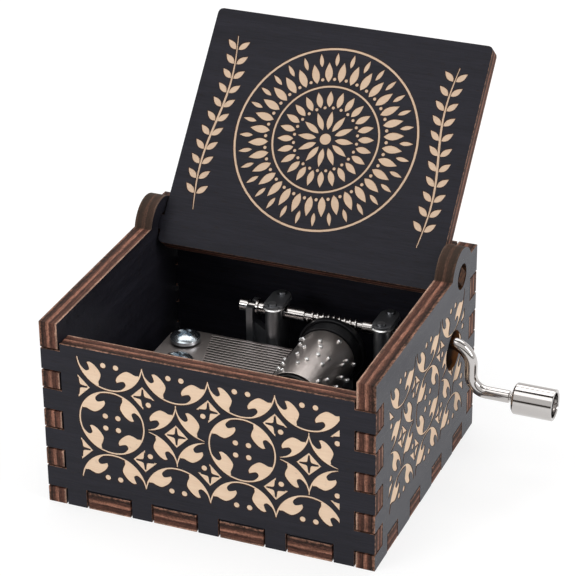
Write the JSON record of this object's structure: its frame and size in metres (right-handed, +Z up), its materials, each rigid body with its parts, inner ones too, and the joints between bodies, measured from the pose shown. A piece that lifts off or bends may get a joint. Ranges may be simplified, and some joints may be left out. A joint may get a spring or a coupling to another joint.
{
  "type": "hand-cranked music box",
  "caption": "Small plywood box with finger joints and a lid that leans open, holding a comb-and-drum musical movement turned by a bent wire crank with a metal knob.",
  "frame": {"origin": "centre of the case's underside", "axes": "+Z up, +X towards the crank's side, -Y towards the front; the lid is open as in the picture"},
  "size_m": [0.0838, 0.0763, 0.0706],
  "materials": {
    "stained_plywood": "black-stained veneer, laser-engraved, charred brown edges",
    "die_cast_metal": "dark die-cast metal",
    "comb_steel": "ground spring steel",
    "zinc_plated_steel": "zinc plate",
    "drum_metal": "dark nickel plate",
    "black_plastic": "moulded black plastic",
    "nickel_plated_steel": "polished nickel plate"
  },
  "bodies": {
    "case": {"floor_panel": "stained_plywood", "front_panel": "stained_plywood", "back_panel": "stained_plywood", "left_side_panel": "stained_plywood", "right_side_panel": "stained_plywood", "bedplate": "die_cast_metal", "left_bearing_strap": "die_cast_metal", "right_bearing_strap": "die_cast_metal", "comb": "comb_steel", "comb_screw_rear": "zinc_plated_steel", "comb_screw_front": "zinc_plated_steel", "floor_screw_1": "zinc_plated_steel", "floor_screw_2": "zinc_plated_steel", "floor_screw_3": "zinc_plated_steel"},
    "lid": {"lid": "stained_plywood"},
    "crank": {"worm_shaft": "nickel_plated_steel", "crank_arm": "nickel_plated_steel", "knob_washer": "zinc_plated_steel"},
    "knob": {"crank_knob": "nickel_plated_steel"},
    "drum": {"drum": "drum_metal", "drum_end_plug": "black_plastic", "drum_gear": "black_plastic", "drum_arbor": "nickel_plated_steel"}
  },
  "joints": [
    {"name": "lid_hinge", "type": "hinge", "parent": "case", "child": "lid", "pos_m": [0, 0.01845, 0.0363], "axis": [1, 0, 0], "range_deg": [0, 132]},
    {"name": "crank_spin", "type": "hinge", "parent": "case", "child": "crank", "pos_m": [0, 0.0148, 0.0242], "axis": [1, 0, 0], "continuous": true},
    {"name": "knob_spin", "type": "hinge", "parent": "crank", "child": "knob", "pos_m": [0.048, 0.0148, 0.015], "axis": [1, 0, 0], "continuous": true},
    {"name": "drum_spin", "type": "hinge", "parent": "case", "child": "drum", "pos_m": [0.0085, 0, 0.019], "axis": [0, 1, 0], "continuous": true}
  ],
  "couplings": [
    {"joint": "drum_spin", "follows": "crank_spin", "ratio": -0.033333}
  ]
}
